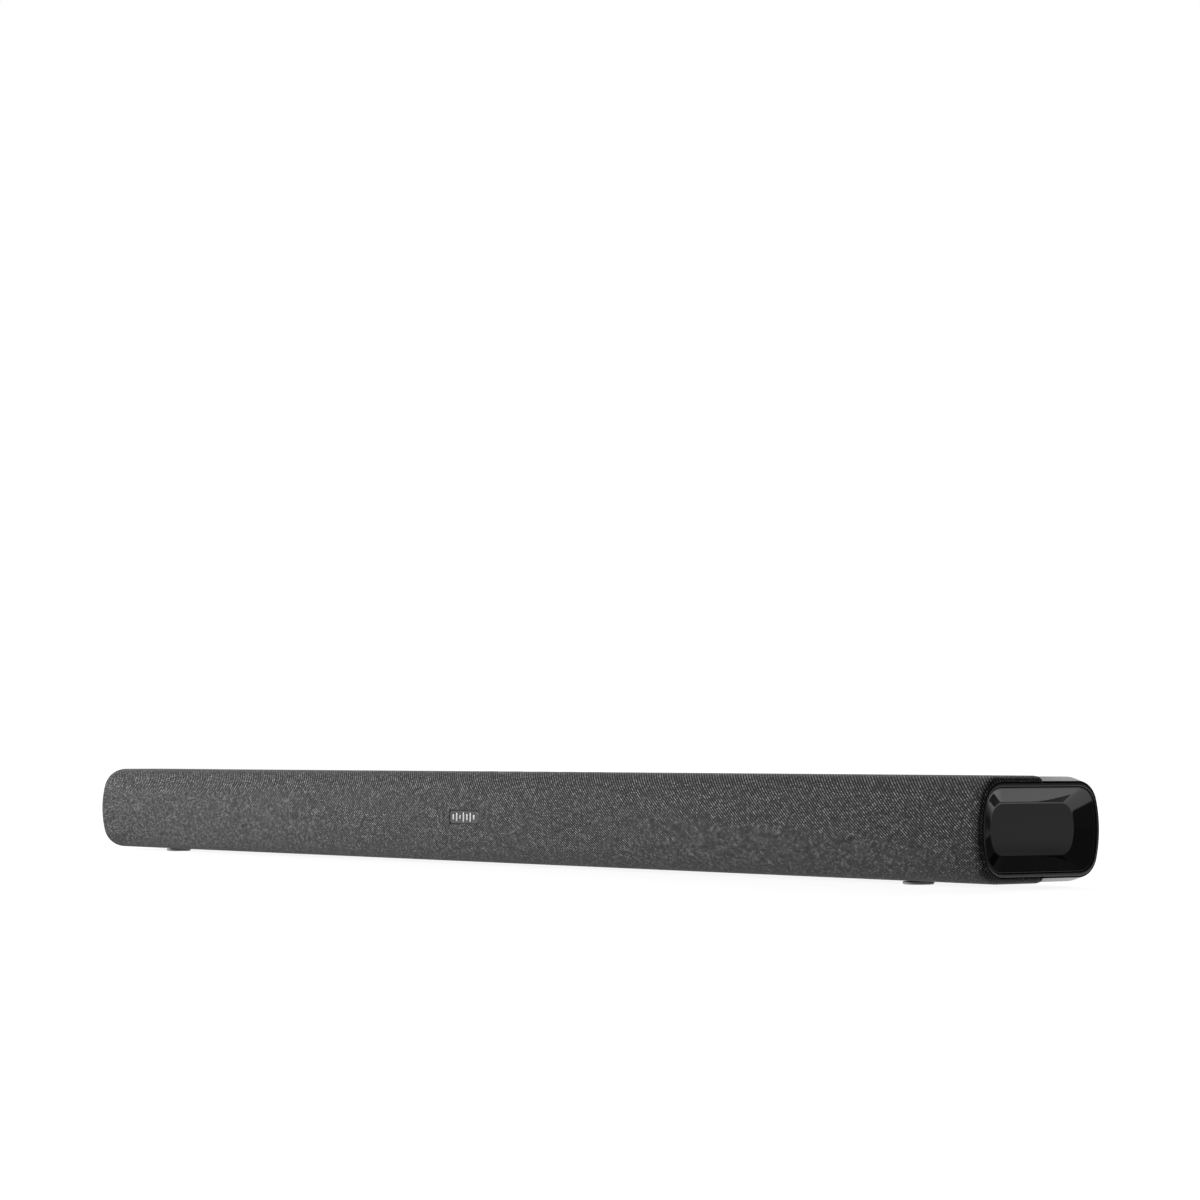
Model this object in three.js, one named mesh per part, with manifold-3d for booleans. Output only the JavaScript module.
// A slim soundbar that stands under a television: cloth grille over a perforated frame, plastic
// cabinet with two oval mid-woofers and two dome tweeters, glossy dished end panels, a strip of five
// push buttons on top and a connector bay in the back.
// Millimetres. +X is the listener's right, -Y faces the listener, +Z is up.
// The origin is on the surface that the feet stand on, under the middle of the bar.
import * as THREE from "three";
import { mergeVertices } from "three/addons/utils/BufferGeometryUtils.js";
import Module from "manifold-3d";

const wasm = await Module();
wasm.setup();

// ---------------------------------------------------------------- driving dimensions
const LENGTH = 900;
const DEPTH = 83;
const HEIGHT = 55;
const FOOT_HEIGHT = 1.8;
const GAP = 0.3; // between pieces that touch

const CLOTH_PROUD = 0.6; // the cloth stands this far above the plastic behind it
const HALF_LENGTH = LENGTH / 2;
const HALF_DEPTH = (DEPTH + CLOTH_PROUD) / 2;
const HALF_HEIGHT = (HEIGHT - FOOT_HEIGHT) / 2;
const MID_Y = CLOTH_PROUD / 2; // middle of the cross-section
const MID_Z = (HEIGHT + FOOT_HEIGHT) / 2;
const CORNER_R = 15;
const BOW_ANGLE = 15; // degrees that the bowed front and back faces turn through, each way

// Layers of the casing, as insets from the outer outline of the cross-section.
const CLOTH = { outer: 0, inner: 0.9, tuck: 3.1, backY: 1 };
const FRAME = { outer: CLOTH.inner + GAP, inner: CLOTH.tuck, backY: 0.5 };
const SHELL = { outer: CLOTH_PROUD, inner: 3.1, frontY: 1.6, endX: 441 };
const SLEEVE = { outer: 3.4, inner: 5.8, frontY: -26, endX: 438 };
const TOP_Z = HEIGHT - SHELL.outer; // flat top of the cabinet
const WALL = 2;

const BAFFLE = { backY: SLEEVE.frontY - GAP, frontY: SLEEVE.frontY - 3.4 };
const WOOFER_X = 265;
const TWEETER_X = 390;
const PARTITIONS_X = [185, 345];
const OVAL_STRAIGHT = 40.5; // half of the straight side of an oval woofer

const OPENING = { halfWidth: 37.2, halfHeight: 21.2, cornerR: 10.5, bowAngle: 12 };
const DISH = { depth: 6, rim: 0.6, floorWidthShare: 0.765, floorHeightShare: 0.605 };

const STRIP = { halfLength: 74, midY: 14, halfWidth: 7, depth: 1.4, cornerR: 3 };
const BUTTON = { capR: 5, flangeR: 6.4, proud: 0.5, pitch: 27, segments: 12 };
const BUTTON_BOARD = { halfX: 66, halfY: 10, depth: 10.1, thickness: 1.6 };
const BUTTON_NAMES = [
  "button_power",
  "button_source",
  "button_pairing",
  "button_volume_down",
  "button_volume_up",
];

const SOCKET_Z = 26;
const BAY = { x0: -90, x1: 60, frontY: 22, z0: 14, z1: 38 };
const MAINS_BAY = { x0: 106, x1: 146, frontY: 22, z0: 14, z1: 38 };
const MAINS_X = (MAINS_BAY.x0 + MAINS_BAY.x1) / 2;
const TRAY_WALL = 1.6; // of the mouldings that line the two bays
const SOCKET_X = { videoInput: 38, videoTv: 12, optical: -13, aux: -36, service: -62 };
const SOCKET_MOUTH_Y = BAY.frontY + 2.5;
const VIDEO = { halfX: 7.7, halfZ: 3, wall: 0.6, tongue: { halfX: 5.5, z0: -0.8, z1: 0.8 } };
const SERVICE = { halfX: 7.2, halfZ: 3.6, wall: 0.9, tongue: { halfX: 5.6, z0: 0.2, z1: 2 } };
const OPTICAL = { half: 5.4, mouthHalf: 4.2, flapHalf: 3.8, flapThickness: 0.8 };
const AUX = { bodyR: 4, boreR: 1.8 };
const INLET = { flangeX: 14, flangeZ: 10, flangeY: 25.1, bodyX: 11, bodyZ: 7.5, frontY: 13.5 };
const INLET_WELL = { halfX: 8.8, halfZ: 4.6, floorY: 15, pinX: 4.3, pinR: 1.2, pinY: 22.4 };
const MAIN_BOARD = { x0: -88, x1: 58, y0: 7.6, y1: 9.2, z0: 10, z1: 38.5 };
const BOARD_BACK_Y = MAIN_BOARD.y1 + GAP;
const SPEAKER_PLUG_X = { right: 53.5, left: -82.5 };
const WIRE_PASS = { y: -6, z: 38 }; // where the speaker wires go through the partitions

const KEYHOLE = { x: 300, rebateY: 38.2, pocketY: 32, headR: 4.6, slotR: 2.5, plate: 1.4 };
const FOOT = { x: 380, y: 19, r: 8, stemR: 4, topZ: 4.9 };
const FRONT_LIGHT_X = 45;
const REMOTE_SENSOR_X = -45;
const BADGE = { halfX: 14.5, halfZ: 3.6, backY: -40.55, faceY: -41.2, markY: -41.5, pegX: 9 };

// ---------------------------------------------------------------- solids
// A three.js geometry as a closed solid that can be joined and cut.
function solid(geometry) {
  const bare = geometry.index ? geometry.toNonIndexed() : geometry.clone();
  bare.deleteAttribute("normal");
  bare.deleteAttribute("uv");
  const merged = mergeVertices(bare, 1e-4);
  return new wasm.Manifold(
    new wasm.Mesh({
      numProp: 3,
      vertProperties: new Float32Array(merged.attributes.position.array),
      triVerts: new Uint32Array(merged.index.array),
    }),
  );
}

function geometryOf(body) {
  const mesh = body.getMesh();
  const points = new Float32Array(mesh.numVert * 3);
  for (let i = 0; i < mesh.numVert; i++) {
    const start = i * mesh.numProp;
    points.set(mesh.vertProperties.subarray(start, start + 3), i * 3);
  }
  return new THREE.BufferGeometry()
    .setAttribute("position", new THREE.BufferAttribute(points, 3))
    .setIndex(new THREE.BufferAttribute(mesh.triVerts, 1));
}

const X = new THREE.Vector3(1, 0, 0);
const Y = new THREE.Vector3(0, 1, 0);
const Z = new THREE.Vector3(0, 0, 1);
const FORWARDS = Y.clone().negate();

const join = (first, ...others) => others.reduce((sum, other) => sum.add(other), first);
const cut = (first, ...others) => others.reduce((rest, other) => rest.subtract(other), first);

function box(x0, x1, y0, y1, z0, z1) {
  const geometry = new THREE.BoxGeometry(x1 - x0, y1 - y0, z1 - z0);
  return solid(geometry.translate((x0 + x1) / 2, (y0 + y1) / 2, (z0 + z1) / 2));
}

// A shape drawn in (Y, Z) and run along X from x0 to x1. A bevel takes the edges off both ends.
function alongX(shape, x0, x1, bevel = 0, bevelSegments = 1) {
  const geometry = new THREE.ExtrudeGeometry(shape, {
    depth: x1 - x0 - 2 * bevel,
    bevelEnabled: bevel > 0,
    bevelThickness: bevel,
    bevelSize: bevel,
    bevelOffset: -bevel,
    bevelSegments,
  });
  const turn = new THREE.Matrix4().makeBasis(Y, Z, X).setPosition(x0 + bevel, 0, 0);
  return solid(geometry.applyMatrix4(turn));
}

// A shape drawn in (X, Z) and run back from y0 to y1.
function alongY(shape, y0, y1) {
  const geometry = new THREE.ExtrudeGeometry(shape, { depth: y1 - y0, bevelEnabled: false });
  const turn = new THREE.Matrix4().makeBasis(X, Z, FORWARDS).setPosition(0, y1, 0);
  return solid(geometry.applyMatrix4(turn));
}

// A shape drawn in (X, Y) and run up from z0 to z1.
function alongZ(shape, z0, z1) {
  const geometry = new THREE.ExtrudeGeometry(shape, { depth: z1 - z0, bevelEnabled: false });
  return solid(geometry.translate(0, 0, z0));
}

// A closed profile of [radius, height] points turned about its own +Y axis.
function turned(profile, segments) {
  const points = profile.map(([r, h]) => new THREE.Vector2(r, h));
  return new THREE.LatheGeometry(points, segments, Math.PI / segments);
}

// A plain cylinder that runs along `axis` from the point `at`.
function drum(r, axis, at, length, segments = 10) {
  const geometry = turned([[0, 0], [r, 0], [r, length], [0, length]], segments);
  const side = Math.abs(axis.x) > 0.5 ? Y : X;
  const third = new THREE.Vector3().crossVectors(side, axis);
  return solid(geometry.applyMatrix4(new THREE.Matrix4().makeBasis(side, axis, third).setPosition(...at)));
}

// Pulls a turned shape apart at its middle, so that it becomes a racetrack with straight sides.
// Between the two radii the pull grows from nothing to full, so a round neck can meet an oval rim.
function stretched(geometry, roundR = 0, ovalR = 0) {
  const points = geometry.attributes.position;
  for (let i = 0; i < points.count; i++) {
    const x = points.getX(i);
    const radius = Math.hypot(x, points.getZ(i));
    if (radius < 1e-6) continue;
    const share = ovalR > roundR ? THREE.MathUtils.clamp((radius - roundR) / (ovalR - roundR), 0, 1) : 1;
    points.setX(i, x + Math.sign(x) * OVAL_STRAIGHT * share);
  }
  return geometry;
}

// A section run along a smooth curve through the points.
function swept(section, points, steps) {
  const path = new THREE.CatmullRomCurve3(points.map((point) => new THREE.Vector3(...point)));
  return solid(new THREE.ExtrudeGeometry(section, { steps, extrudePath: path, bevelEnabled: false }));
}

const rectangle = (x0, x1, y0, y1) =>
  new THREE.Shape([[x0, y0], [x1, y0], [x1, y1], [x0, y1]].map(([x, y]) => new THREE.Vector2(x, y)));

function polygon(r, sides) {
  const point = (i) => new THREE.Vector2(r, 0).rotateAround(new THREE.Vector2(), (2 * Math.PI * i) / sides);
  return new THREE.Shape(Array.from({ length: sides }, (_, i) => point(i)));
}

function roundedRectangle(cx, cy, halfX, halfY, r, segments = 3) {
  const points = [];
  for (const [signX, signY, start] of [[1, 1, 0], [-1, 1, 90], [-1, -1, 180], [1, -1, 270]]) {
    for (let i = 0; i <= segments; i++) {
      const angle = THREE.MathUtils.degToRad(start + (90 * i) / segments);
      const x = cx + signX * (halfX - r) + r * Math.cos(angle);
      const y = cy + signY * (halfY - r) + r * Math.sin(angle);
      points.push(new THREE.Vector2(x, y));
    }
  }
  return new THREE.Shape(points);
}

// ---------------------------------------------------------------- the cross-section
// An outline in (Y, Z) with a flat top and base, round corners, and a front and back that bow out on
// a large arc tangent to the corners.
function bowedOutline({ halfWidth, halfHeight, cornerR, bowAngle }) {
  const turn = THREE.MathUtils.degToRad(bowAngle);
  const cornerZ = halfHeight - cornerR;
  const bowR = cornerZ / Math.sin(turn) + cornerR;
  const bowY = halfWidth - bowR;
  const cornerY = bowY + (bowR - cornerR) * Math.cos(turn);
  const right = Math.PI / 2;
  const arcs = [
    [bowY, 0, bowR, -turn, turn, 4],
    [cornerY, cornerZ, cornerR, turn, right, 4],
    [-cornerY, cornerZ, cornerR, right, 2 * right - turn, 4],
    [-bowY, 0, bowR, 2 * right - turn, 2 * right + turn, 4],
    [-cornerY, -cornerZ, cornerR, 2 * right + turn, 3 * right, 4],
    [cornerY, -cornerZ, cornerR, 3 * right, 4 * right - turn, 4],
  ];
  const points = [];
  for (const [y, z, r, from, to, segments] of arcs) {
    for (let i = 0; i <= segments; i++) {
      const angle = from + ((to - from) * i) / segments;
      const point = new THREE.Vector2(MID_Y + y + r * Math.cos(angle), MID_Z + z + r * Math.sin(angle));
      const last = points.at(-1);
      if (!last || last.distanceTo(point) > 0.01) points.push(point);
    }
  }
  if (points[0].distanceTo(points.at(-1)) < 0.01) points.pop();
  return new THREE.Shape(points);
}

const barOutline = (inset) =>
  bowedOutline({
    halfWidth: HALF_DEPTH - inset,
    halfHeight: HALF_HEIGHT - inset,
    cornerR: CORNER_R - inset,
    bowAngle: BOW_ANGLE,
  });

const openingOutline = (inset) =>
  bowedOutline({
    halfWidth: OPENING.halfWidth - inset,
    halfHeight: OPENING.halfHeight - inset,
    cornerR: OPENING.cornerR - inset,
    bowAngle: OPENING.bowAngle,
  });

const bar = (inset, halfLength, bevel = 0) => alongX(barOutline(inset), -halfLength, halfLength, bevel);
const betweenY = (y0, y1) => box(-LENGTH, LENGTH, y0, y1, -HEIGHT, 2 * HEIGHT);

// ---------------------------------------------------------------- scene graph
const LOOKS = {
  plastic: { color: 0x17181a, roughness: 0.45, metalness: 0 },
  gloss: { color: 0x050506, roughness: 0.06, metalness: 0 },
  cloth: { color: 0x3a3b3d, roughness: 0.95, metalness: 0 },
  inner: { color: 0x1b1b1c, roughness: 0.6, metalness: 0 },
  rubber: { color: 0x101010, roughness: 0.85, metalness: 0 },
  silicone: { color: 0xb4b4b0, roughness: 0.6, metalness: 0 },
  steel: { color: 0xb5b7ba, roughness: 0.35, metalness: 1 },
  badge: { color: 0xd8d9da, roughness: 0.35, metalness: 0.6 },
  board: { color: 0x12402c, roughness: 0.5, metalness: 0 },
  cone: { color: 0x222326, roughness: 0.7, metalness: 0 },
  ferrite: { color: 0x2b2c2e, roughness: 0.6, metalness: 0.3 },
  aluminium: { color: 0xa9abad, roughness: 0.4, metalness: 1 },
  wire: { color: 0x8c1d18, roughness: 0.5, metalness: 0 },
  clear: { color: 0xe6ecef, roughness: 0.1, metalness: 0 },
};

const soundbar = new THREE.Group();

function add(name, body, look, parent = soundbar) {
  const mesh = new THREE.Mesh(geometryOf(body), new THREE.MeshStandardMaterial(LOOKS[look]));
  mesh.name = name;
  parent.add(mesh);
}

// A group whose own +Y points at the listener, with its origin on the front face of the baffle.
function onBaffle(x) {
  const group = new THREE.Group();
  group.position.set(x, BAFFLE.frontY, MID_Z);
  group.rotation.x = Math.PI;
  soundbar.add(group);
  return group;
}

// A group whose own +Y points up.
function upright(x, y, z) {
  const group = new THREE.Group();
  group.position.set(x, y, z);
  group.rotation.x = Math.PI / 2;
  soundbar.add(group);
  return group;
}

const mirrored = (side, body) => (side > 0 ? body : body.mirror([1, 0, 0]));

// ---------------------------------------------------------------- cabinet
const buttonX = (i) => (i - (BUTTON_NAMES.length - 1) / 2) * BUTTON.pitch;
const buttonHoles = () =>
  BUTTON_NAMES.map((_, i) => drum(BUTTON.capR + GAP, Z, [buttonX(i), STRIP.midY, 40], 20, BUTTON.segments));

const stripOutline = (gap) =>
  roundedRectangle(0, STRIP.midY, STRIP.halfLength - gap, STRIP.halfWidth - gap, STRIP.cornerR - gap);

const backWindow = ({ x0, x1, frontY, z0, z1 }) => box(x0, x1, frontY, DEPTH, z0, z1);

const keyholeBlock = (x) =>
  box(x - 18, x + 18, KEYHOLE.pocketY - WALL, DEPTH, MID_Z - 12.5, MID_Z + 12.5);
const keyholeHollows = (x) => [
  box(x - 15.3, x + 15.3, KEYHOLE.rebateY, DEPTH, MID_Z - 10.3, MID_Z + 10.3),
  box(x - 8, x + 8, KEYHOLE.pocketY, DEPTH, MID_Z - 9, MID_Z + 9),
];

// The back half of the casing shows. A sleeve in front of it, under the grille, carries the baffle.
function rearCabinet() {
  const shell = bar(SHELL.outer, SHELL.endX).intersect(betweenY(SHELL.frontY, DEPTH));
  const sleeve = bar(SLEEVE.outer, SLEEVE.endX).intersect(betweenY(SLEEVE.frontY, SHELL.frontY + 2.4));
  const shellHollow = bar(SHELL.inner, LENGTH).intersect(betweenY(SHELL.frontY + 2.4, DEPTH));
  const sleeveHollow = bar(SLEEVE.inner, LENGTH).intersect(betweenY(-DEPTH, SHELL.frontY + 3));
  const full = join(shell, sleeve);
  let body = cut(full, shellHollow, sleeveHollow);

  const inner = [];
  for (const side of [-1, 1]) {
    for (const x of [...PARTITIONS_X, SLEEVE.endX - WALL / 2]) {
      const wallX = side * x;
      inner.push(box(wallX - WALL / 2, wallX + WALL / 2, SLEEVE.frontY, DEPTH, 0, HEIGHT));
    }
    for (const x of PARTITIONS_X) inner.push(drum(4, Y, [side * x, SLEEVE.frontY, MID_Z], 14));
    inner.push(keyholeBlock(side * KEYHOLE.x));
  }
  body = join(body, ...inner.map((piece) => piece.intersect(full)));
  const boardBottom = TOP_Z - BUTTON_BOARD.depth;
  const postLength = BUTTON_BOARD.depth - STRIP.depth - 0.5;
  for (const x of [-60, 60]) {
    for (const y of [6, 22]) body = body.add(drum(2.2, Z, [x, y, boardBottom], postLength, 8));
  }

  for (const side of [-1, 1]) {
    for (const x of PARTITIONS_X) {
      body = body.subtract(drum(1.3, Y, [side * x, SLEEVE.frontY - 1, MID_Z], 9, 8));
      body = body.subtract(drum(2.6, X, [side * x - 5, WIRE_PASS.y, WIRE_PASS.z], 10, 8));
    }
    body = cut(body, ...keyholeHollows(side * KEYHOLE.x));
    body = body.subtract(drum(FOOT.stemR + GAP, Z, [side * FOOT.x, FOOT.y, 0], 8, 12));
  }
  const stripRebate = alongZ(stripOutline(0), TOP_Z - STRIP.depth, HEIGHT);
  return cut(body, backWindow(BAY), backWindow(MAINS_BAY), stripRebate, ...buttonHoles());
}

// A steel plate: a screw head on the wall goes through its round end, and the bar drops on the neck.
function keyholePlate(x) {
  const plateY = KEYHOLE.rebateY + GAP;
  const plate = alongY(roundedRectangle(x, MID_Z, 15, 10, 2, 1), plateY, plateY + KEYHOLE.plate);
  const head = drum(KEYHOLE.headR, Y, [x, 30, MID_Z - 3.6], 20, 14);
  const neck = alongY(roundedRectangle(x, MID_Z + 0.6, KEYHOLE.slotR, 6.6, KEYHOLE.slotR - 0.05), 30, 50);
  return cut(plate, head, neck);
}

// ---------------------------------------------------------------- baffle, grille and badge
const lightHole = () => drum(2.3, Y, [FRONT_LIGHT_X, -DEPTH, MID_Z], DEPTH);
const sensorHole = () => drum(3.3, Y, [REMOTE_SENSOR_X, -DEPTH, MID_Z], DEPTH);

function frontBaffle() {
  const plate = bar(SLEEVE.outer, SLEEVE.endX).intersect(betweenY(BAFFLE.frontY, BAFFLE.backY));
  const holes = [lightHole(), sensorHole()];
  for (const side of [-1, 1]) {
    const oval = stretched(turned([[0, -20], [17, -20], [17, 20], [0, 20]], 20));
    holes.push(solid(oval.translate(side * WOOFER_X, BAFFLE.frontY, MID_Z)));
    holes.push(drum(16.2, Y, [side * TWEETER_X, -DEPTH, MID_Z], DEPTH, 20));
    for (const x of PARTITIONS_X) holes.push(drum(1.6, Y, [side * x, -DEPTH, MID_Z], DEPTH, 8));
  }
  return cut(plate, ...holes);
}

const frontFootHoles = () =>
  [-1, 1].map((side) => drum(FOOT.stemR + GAP, Z, [side * FOOT.x, -FOOT.y, -5], 15, 12));

// A stiff frame that fills the space under the cloth, with sound windows in front of the drivers.
function grilleFrame() {
  const outer = bar(FRAME.outer, HALF_LENGTH - FRAME.outer, 1.1);
  const hollow = bar(FRAME.inner, LENGTH);
  const windows = [];
  for (const side of [-1, 1]) {
    for (const x of [WOOFER_X - 38, WOOFER_X, WOOFER_X + 38, TWEETER_X]) {
      windows.push(box(side * x - 16, side * x + 16, -DEPTH, -34, MID_Z - 15, MID_Z + 15));
    }
    windows.push(drum(1.3, Y, [side * BADGE.pegX, -DEPTH, MID_Z], DEPTH, 8));
  }
  windows.push(lightHole(), sensorHole(), ...frontFootHoles());
  return cut(outer, hollow, ...windows).intersect(betweenY(-DEPTH, FRAME.backY));
}

// Cloth stretched over the frame and turned in round both ends, with a window for the badge.
function grilleCloth() {
  const outer = bar(CLOTH.outer, HALF_LENGTH, 2);
  const under = bar(CLOTH.inner, HALF_LENGTH - CLOTH.inner, 1.1);
  const ends = bar(CLOTH.tuck, LENGTH);
  const [x, z] = [BADGE.halfX + GAP, BADGE.halfZ + GAP];
  const badgeWindow = box(-x, x, -DEPTH, -30, MID_Z - z, MID_Z + z);
  return cut(outer, under, ends, badgeWindow, ...frontFootHoles()).intersect(betweenY(-DEPTH, CLOTH.backY));
}

// A plain plate with a raised row of upright bars, on two pegs that go into the grille frame.
function badge() {
  const outline = roundedRectangle(0, MID_Z, BADGE.halfX, BADGE.halfZ, 0.8, 2);
  const barHalfHeights = [1.6, 2.5, 1.1, 2.8, 1.9, 2.6, 1.4];
  const bars = barHalfHeights.map((half, i) => {
    const x = (i - (barHalfHeights.length - 1) / 2) * 3.6;
    return box(x - 0.8, x + 0.8, BADGE.markY, BADGE.faceY + 0.2, MID_Z - half, MID_Z + half);
  });
  const pegs = [-1, 1].map((side) => drum(1, Y, [side * BADGE.pegX, BADGE.backY - 0.2, MID_Z], 3, 8));
  return join(alongY(outline, BADGE.faceY, BADGE.backY), ...bars, ...pegs);
}

// ---------------------------------------------------------------- ends
// A band level with the cabinet behind, and a ring inside the cloth, in one piece.
function endFrame() {
  const bevelled = alongX(barOutline(SHELL.outer), -HALF_LENGTH, HALF_LENGTH - 0.4, 1.4, 2);
  const band = bevelled.intersect(box(SHELL.endX + GAP, LENGTH, SHELL.frontY, DEPTH, 0, HEIGHT));
  const ring = alongX(barOutline(SLEEVE.outer), SHELL.endX + GAP, HALF_LENGTH);
  return join(band, ring).subtract(alongX(openingOutline(0), SLEEVE.endX - 5, LENGTH));
}

// A panel with a shallow dish: a flat floor with sloping walls.
function endPanel() {
  const faceX = HALF_LENGTH - 0.6;
  const dish = new THREE.ExtrudeGeometry(openingOutline(DISH.rim), {
    depth: 2 * DISH.depth,
    bevelEnabled: false,
    steps: 2,
  });
  const points = dish.attributes.position;
  for (let i = 0; i < points.count; i++) {
    if (points.getZ(i) > 1e-6) continue;
    points.setX(i, MID_Y + (points.getX(i) - MID_Y) * DISH.floorWidthShare);
    points.setY(i, MID_Z + (points.getY(i) - MID_Z) * DISH.floorHeightShare);
  }
  const turn = new THREE.Matrix4().makeBasis(Y, Z, X).setPosition(faceX - DISH.depth, 0, 0);
  const panel = alongX(openingOutline(GAP), SLEEVE.endX + 3.4, faceX);
  return panel.subtract(solid(dish.applyMatrix4(turn)));
}

// ---------------------------------------------------------------- buttons
const controlStrip = () =>
  cut(alongZ(stripOutline(GAP), TOP_Z - STRIP.depth + GAP, TOP_Z), ...buttonHoles());

// Heights run from the cabinet's top: the cap stands proud, a flange stops it under the wall, and a
// nub stands over the switch.
function button() {
  const { capR, flangeR, proud, segments } = BUTTON;
  const profile = [
    [0, -6.7],
    [1.5, -6.7],
    [1.5, -4.8],
    [flangeR, -4.8],
    [flangeR, -2.8],
    [capR, -2.8],
    [capR, proud - 0.4],
    [capR - 0.4, proud],
    [0, proud],
  ];
  return solid(turned(profile, segments));
}

function buttonBoard() {
  const { midY } = STRIP;
  const { halfX, halfY, depth, thickness } = BUTTON_BOARD;
  const boardTop = TOP_Z - depth - GAP;
  const board = box(-halfX, halfX, midY - halfY, midY + halfY, boardTop - thickness, boardTop);
  const switches = BUTTON_NAMES.map((_, i) => {
    const x = buttonX(i);
    const base = box(x - 3, x + 3, midY - 3, midY + 3, TOP_Z - 10.5, TOP_Z - 8.8);
    return base.add(drum(1.6, Z, [x, midY, TOP_Z - 9], 1, 8));
  });
  const plug = box(-halfX, -54, midY - halfY, midY - 5, TOP_Z - 14.5, boardTop - thickness + 0.1);
  return join(board, plug, ...switches);
}

// ---------------------------------------------------------------- drivers
// Heights run forwards from the front of the baffle.
const washer = (r0, r1, h0, h1) => [[r0, h0], [r1, h0], [r1, h1], [r0, h1], [r0, h0]];
const OVAL_SEGMENTS = 16;

const wooferGasket = () => solid(stretched(turned(washer(17.5, 20, GAP, 1.1), OVAL_SEGMENTS)));

function wooferBasket() {
  const profile = [
    [16.6, 1.4], [20.2, 1.4], [20.2, 2.6], [15.8, 2.6], [15.8, -1], [12, -17.4],
    [8.8, -17.4], [8.8, -19.2], [13.2, -19.2], [16.6, -2], [16.6, 1.4],
  ];
  const basket = solid(stretched(turned(profile, OVAL_SEGMENTS), 13.2, 15.8));
  const windows = [-24, 24].map((x) => box(x - 15, x + 15, -15.5, -5, -HEIGHT, HEIGHT));
  return cut(basket, ...windows);
}

// A half-roll of rubber between the basket's rim and the cone.
function wooferSurround() {
  const [middleR, base, thickness] = [15.5, 2.9, 0.6];
  const arc = (r, from, to) =>
    Array.from({ length: 4 }, (_, i) => {
      const angle = THREE.MathUtils.degToRad(from + ((to - from) * i) / 3);
      return [middleR + r * Math.cos(angle), base + r * Math.sin(angle)];
    });
  const profile = [
    [12.8, base], ...arc(1.4, 180, 0), [19.2, base], [19.2, base + thickness],
    ...arc(2, 17, 163), [12.8, base + thickness], [12.8, base],
  ];
  return solid(stretched(turned(profile, OVAL_SEGMENTS)));
}

// Cone, dust cap and voice-coil former, which move as one.
function wooferCone() {
  const profile = [
    [0, -4.8], [6.2, -8.4], [6.2, -25], [6.8, -25], [6.8, -9], [14, 1.6],
    [14, 2.6], [7, -6.6], [4, -4.6], [0, -3.8],
  ];
  return solid(stretched(turned(profile, OVAL_SEGMENTS), 7.2, 14));
}

function wooferMagnet() {
  const profile = [
    [0, -33.6], [14.5, -33.6], [15.5, -32], [15.5, -19.6], [7.5, -19.6],
    [7.5, -29.5], [5.5, -29.5], [5.5, -12.4], [0, -12.4],
  ];
  return solid(turned(profile, 16));
}

function tweeterFaceplate() {
  const profile = [
    [13.3, GAP], [19.6, GAP], [19.6, 2], [19, 2.5], [14.4, 1.1], [13.3, 1.1], [13.3, GAP],
  ];
  return solid(turned(profile, 20));
}

function tweeterDome() {
  const profile = [
    [0, 3], [6, 2.1], [9.8, 0.4], [11.7, -1.5], [11.7, -5], [12.3, -5],
    [12.3, -1.2], [10.2, 1], [6.2, 2.8], [0, 3.7],
  ];
  return solid(turned(profile, 16));
}

function tweeterMagnet() {
  const profile = [
    [0, -17], [15, -17], [15, -2.2], [13.1, -2.2], [13.1, -8], [10.9, -8], [10.9, -3], [0, -3],
  ];
  return solid(turned(profile, 16));
}

const baffleScrew = () =>
  solid(turned([[0, -10], [1, -10], [1, GAP], [2.8, GAP], [2.8, 1.3], [2, 1.9], [0, 1.9]], 10));

// A clear rod from the board to the back of the cloth, with a collar that rests on the baffle.
function collaredRod(r, collarR, length) {
  const profile = [
    [0, -4], [r, -4], [r, GAP], [collarR, GAP], [collarR, 1.5], [r, 1.5], [r, length], [0, length],
  ];
  return solid(turned(profile, 12));
}

// ---------------------------------------------------------------- electronics
function mainBoard() {
  const { x0, x1, y0, y1, z0, z1 } = MAIN_BOARD;
  const face = y0 + 0.1;
  const plugs = Object.values(SPEAKER_PLUG_X).map((x) => box(x - 3.5, x + 3.5, 3.8, face, 28, 33));
  const chips = [
    box(-70, -52, 5.6, face, 12, 26),
    box(-46, -36, 6, face, 16, 26),
    box(24, 36, 4.6, face, 14, 26),
  ];
  const capacitors = [20, 31].map((z) => drum(4, FORWARDS, [43, face, z], 9));
  const ribbonPlug = box(-66, -54, 4, face, 30, 35);
  return join(box(x0, x1, y0, y1, z0, z1), ribbonPlug, ...plugs, ...chips, ...capacitors);
}

function heatSink() {
  const back = box(-24, 16, 4.3, MAIN_BOARD.y0 - GAP, 12, 37);
  const fins = [-22.5, -15, -7.5, 0, 7.5, 14.5].map((x) => box(x - 0.9, x + 0.9, -6, 5, 12, 37));
  return join(back, ...fins);
}

function powerBoard() {
  const board = box(84, 178, -18, 12, 8.6, 10.2);
  const capacitors = [drum(6, Z, [164, -8, 10], 20, 12), drum(5, Z, [166, 6, 10], 14)];
  return join(board, ...capacitors, box(88, 102, -14, 4, 10, 20), box(142, 150, -14, 8, 10, 26));
}

// Two flanges of the bobbin, with the core and windings between them.
function powerTransformer() {
  const flanges = [[10.5, 13], [29.8, 32.5]].map(([z0, z1]) => box(108, 136, -14, 8, z0, z1));
  return join(box(112, 132, -16, 10, 12.8, 30), ...flanges);
}

const wirelessModule = () => join(box(-150, -112, 27, 28.4, 14, 40), box(-147, -128, 24.8, 27.1, 17, 37));

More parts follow.
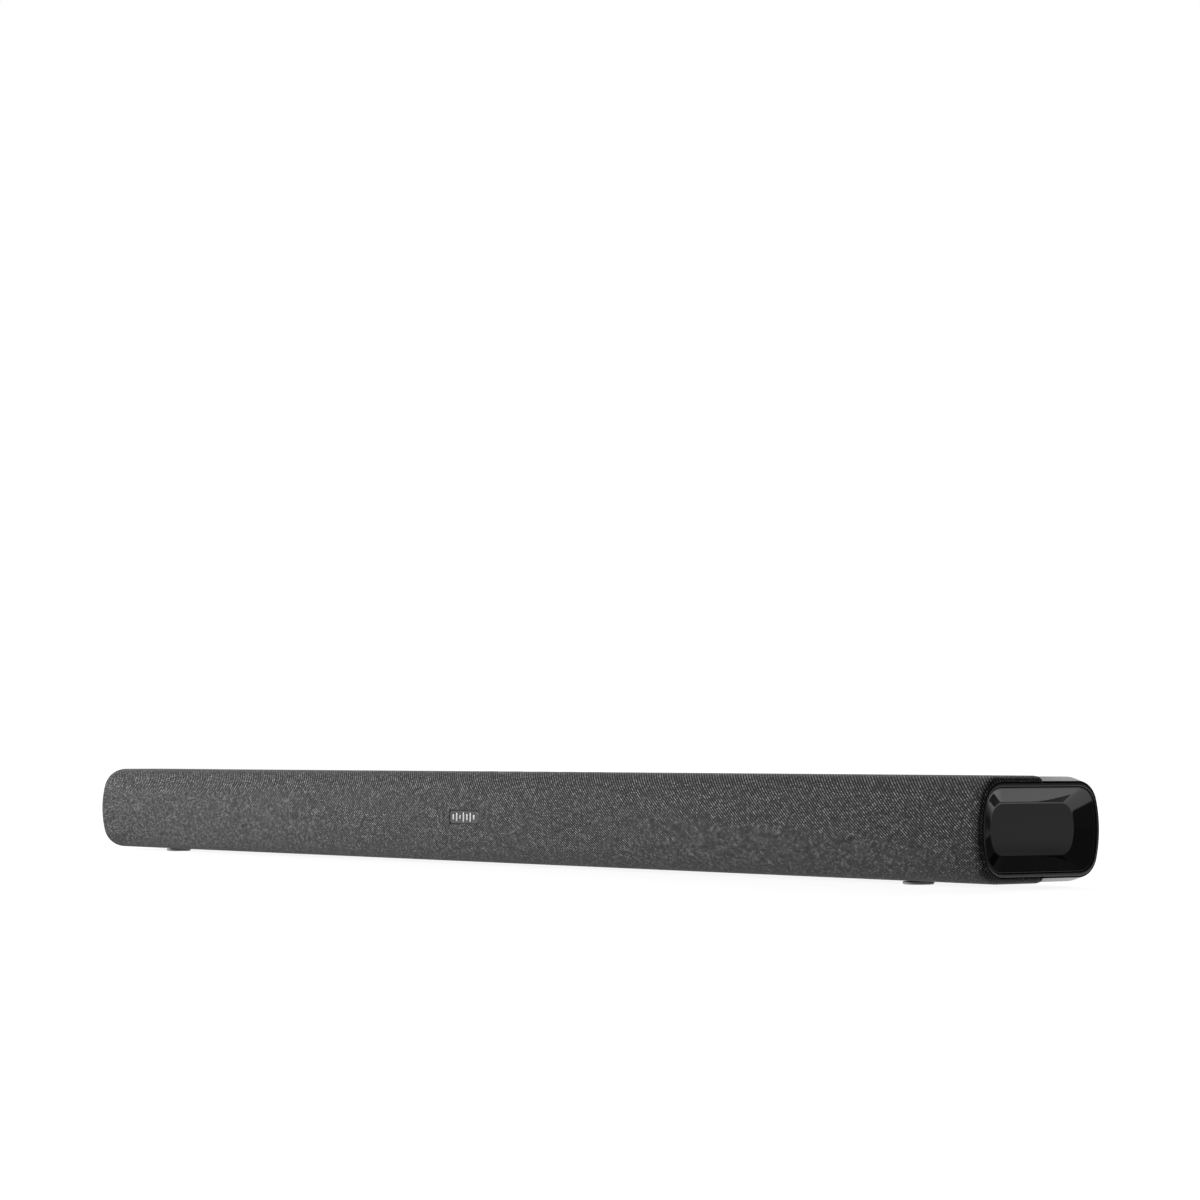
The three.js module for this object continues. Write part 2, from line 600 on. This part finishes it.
// The leads of one side's tweeter and woofer, taped together, from the drivers to the main board.
function speakerWire(side) {
  const plugX = side > 0 ? SPEAKER_PLUG_X.right : SPEAKER_PLUG_X.left;
  const route = [
    [side * 373, -16, 33], [side * 360, -11, 36.5], [side * 350, -6, 38], [side * 338, -6, 38],
    [side * 312, 4, 37], [side * 285, 9, 34], [side * 245, 9, 34], [side * 215, 3, 37],
    [side * 195, -6, 38], [side * 175, -6, 38], [side * 145, -8, 38], [plugX + side * 32, -8, 37],
    [plugX + side * 10, -7, 34], [plugX + side * 1.5, -3, 31.5], [plugX, 3.2, 30.5],
  ];
  return swept(polygon(1.3, 6), route, 28);
}

function buttonRibbon() {
  const route = [
    [-60, 7, TOP_Z - 15.1], [-60, 4, TOP_Z - 15.1], [-60, 1.5, TOP_Z - 16.2],
    [-60, 0.8, TOP_Z - 18.4], [-60, 1.6, TOP_Z - 20.8], [-60, 3.5, TOP_Z - 21.9],
  ];
  return swept(rectangle(-5.5, 5.5, -0.2, 0.2), route, 8);
}

// ---------------------------------------------------------------- sockets
// A moulding that lines a bay: a floor, and four walls that end level with the cabinet's back.
function tray({ x0, x1, frontY, z0, z1 }) {
  const lined = (gap, floorY) => box(x0 + gap, x1 - gap, floorY, DEPTH, z0 + gap, z1 - gap);
  const floorY = frontY + GAP;
  const block = lined(GAP, floorY).intersect(bar(SHELL.outer, SHELL.endX));
  return block.subtract(lined(GAP + TRAY_WALL, floorY + TRAY_WALL));
}

function connectorPlate() {
  const window = (x, halfX, halfZ) =>
    box(x - halfX - GAP, x + halfX + GAP, 10, 30, SOCKET_Z - halfZ - GAP, SOCKET_Z + halfZ + GAP);
  return cut(
    tray(BAY),
    window(SOCKET_X.videoInput, VIDEO.halfX, VIDEO.halfZ),
    window(SOCKET_X.videoTv, VIDEO.halfX, VIDEO.halfZ),
    window(SOCKET_X.optical, OPTICAL.half, OPTICAL.half),
    window(SOCKET_X.service, SERVICE.halfX, SERVICE.halfZ),
    drum(AUX.bodyR + GAP, Y, [SOCKET_X.aux, 10, SOCKET_Z], 20, 14),
  );
}

// A metal sleeve, closed at the board, with a contact tongue inside.
function tongueSocket(x, { halfX, halfZ, wall, tongue }) {
  const [insideX, insideZ] = [halfX - wall, halfZ - wall];
  const block = (halfWidth, y0, y1, z0, z1) =>
    box(x - halfWidth, x + halfWidth, y0, y1, SOCKET_Z + z0, SOCKET_Z + z1);
  const sleeve = block(halfX, BOARD_BACK_Y, SOCKET_MOUTH_Y, -halfZ, halfZ);
  const hollow = block(insideX, BOARD_BACK_Y + 2, 30, -insideZ, insideZ);
  const blade = block(tongue.halfX, BOARD_BACK_Y + 1, SOCKET_MOUTH_Y - 1.4, tongue.z0, tongue.z1);
  return join(sleeve.subtract(hollow), blade);
}

const squareBlock = (x, half, y0, y1) => box(x - half, x + half, y0, y1, SOCKET_Z - half, SOCKET_Z + half);

const opticalSocket = () =>
  squareBlock(SOCKET_X.optical, OPTICAL.half, BOARD_BACK_Y, SOCKET_MOUTH_Y).subtract(
    squareBlock(SOCKET_X.optical, OPTICAL.mouthHalf, BOARD_BACK_Y + 2, 30),
  );

// A flap that hangs from its top edge. A plug pushes it inwards.
const opticalShutter = () => {
  const backY = SOCKET_MOUTH_Y - GAP;
  return squareBlock(SOCKET_X.optical, OPTICAL.flapHalf, backY - OPTICAL.flapThickness, backY);
};

function auxJack() {
  const length = SOCKET_MOUTH_Y + 0.6 - BOARD_BACK_Y;
  const tube = turned(washer(AUX.boreR, AUX.bodyR, 0, length), 14);
  return solid(tube.translate(SOCKET_X.aux, BOARD_BACK_Y, SOCKET_Z));
}

// A two-pin mains inlet in the floor of its tray: a raised flange round a well shaped like a
// racetrack, with two round pins.
function mainsInlet() {
  const { flangeX, flangeZ, flangeY, bodyX, bodyZ, frontY } = INLET;
  const { halfX, halfZ, floorY, pinX, pinR, pinY } = INLET_WELL;
  const flange = alongY(roundedRectangle(MAINS_X, SOCKET_Z, flangeX, flangeZ, 1.5, 1), 23, flangeY);
  const body = box(MAINS_X - bodyX, MAINS_X + bodyX, frontY, 23.5, SOCKET_Z - bodyZ, SOCKET_Z + bodyZ);
  const well = alongY(roundedRectangle(MAINS_X, SOCKET_Z, halfX, halfZ, halfZ - 0.1, 4), floorY, 30);
  const pin = (x) => drum(pinR, Y, [MAINS_X + x, floorY - 1, SOCKET_Z], pinY - floorY + 1, 8);
  return join(join(tray(MAINS_BAY), flange, body).subtract(well), pin(-pinX), pin(pinX));
}

// ---------------------------------------------------------------- feet
function foot() {
  const { r, stemR, topZ } = FOOT;
  const padTop = FOOT_HEIGHT - GAP;
  const profile = [[0, 0], [r - 0.5, 0], [r, 0.5], [r, padTop], [stemR, padTop], [stemR, topZ], [0, topZ]];
  return solid(turned(profile, 14));
}

// ---------------------------------------------------------------- assembly
add("rear_cabinet", rearCabinet(), "plastic");
add("front_baffle", frontBaffle(), "inner");
add("grille_frame", grilleFrame(), "inner");
add("grille_cloth", grilleCloth(), "cloth");
add("badge", badge(), "badge");

add("control_strip", controlStrip(), "gloss");
add("button_board", buttonBoard(), "board");
BUTTON_NAMES.forEach((name, i) => {
  add(name, button(), "rubber", upright(buttonX(i), STRIP.midY, TOP_Z));
});

for (const [word, side] of [["left", -1], ["right", 1]]) {
  add(`end_frame_${word}`, mirrored(side, endFrame()), "plastic");
  add(`end_panel_${word}`, mirrored(side, endPanel()), "gloss");

  const woofer = onBaffle(side * WOOFER_X);
  add(`woofer_gasket_${word}`, wooferGasket(), "rubber", woofer);
  add(`woofer_basket_${word}`, wooferBasket(), "inner", woofer);
  add(`woofer_surround_${word}`, wooferSurround(), "rubber", woofer);
  add(`woofer_cone_${word}`, wooferCone(), "cone", woofer);
  add(`woofer_magnet_${word}`, wooferMagnet(), "ferrite", woofer);

  const tweeter = onBaffle(side * TWEETER_X);
  add(`tweeter_faceplate_${word}`, tweeterFaceplate(), "inner", tweeter);
  add(`tweeter_dome_${word}`, tweeterDome(), "cone", tweeter);
  add(`tweeter_magnet_${word}`, tweeterMagnet(), "ferrite", tweeter);

  add(`inner_screw_${word}`, baffleScrew(), "steel", onBaffle(side * PARTITIONS_X[0]));
  add(`outer_screw_${word}`, baffleScrew(), "steel", onBaffle(side * PARTITIONS_X[1]));
  add(`keyhole_plate_${word}`, keyholePlate(side * KEYHOLE.x), "steel");
  add(`front_foot_${word}`, foot(), "silicone", upright(side * FOOT.x, -FOOT.y, 0));
  add(`rear_foot_${word}`, foot(), "silicone", upright(side * FOOT.x, FOOT.y, 0));
  add(`speaker_wire_${word}`, speakerWire(side), "wire");
}

add("main_board", mainBoard(), "board");
add("heat_sink", heatSink(), "aluminium");
add("power_board", powerBoard(), "board");
add("power_transformer", powerTransformer(), "ferrite");
add("wireless_module", wirelessModule(), "board");
add("button_ribbon", buttonRibbon(), "wire");
add("status_light_pipe", collaredRod(1.9, 3.6, 9.7), "clear", onBaffle(FRONT_LIGHT_X));
add("remote_sensor", collaredRod(2.9, 4.4, 9.7), "clear", onBaffle(REMOTE_SENSOR_X));

add("connector_plate", connectorPlate(), "inner");
add("video_socket_input", tongueSocket(SOCKET_X.videoInput, VIDEO), "steel");
add("video_socket_tv", tongueSocket(SOCKET_X.videoTv, VIDEO), "steel");
add("service_socket", tongueSocket(SOCKET_X.service, SERVICE), "steel");
add("optical_socket", opticalSocket(), "inner");
add("optical_shutter", opticalShutter(), "inner");
add("aux_jack", auxJack(), "inner");
add("mains_inlet", mainsInlet(), "inner");

export default soundbar;
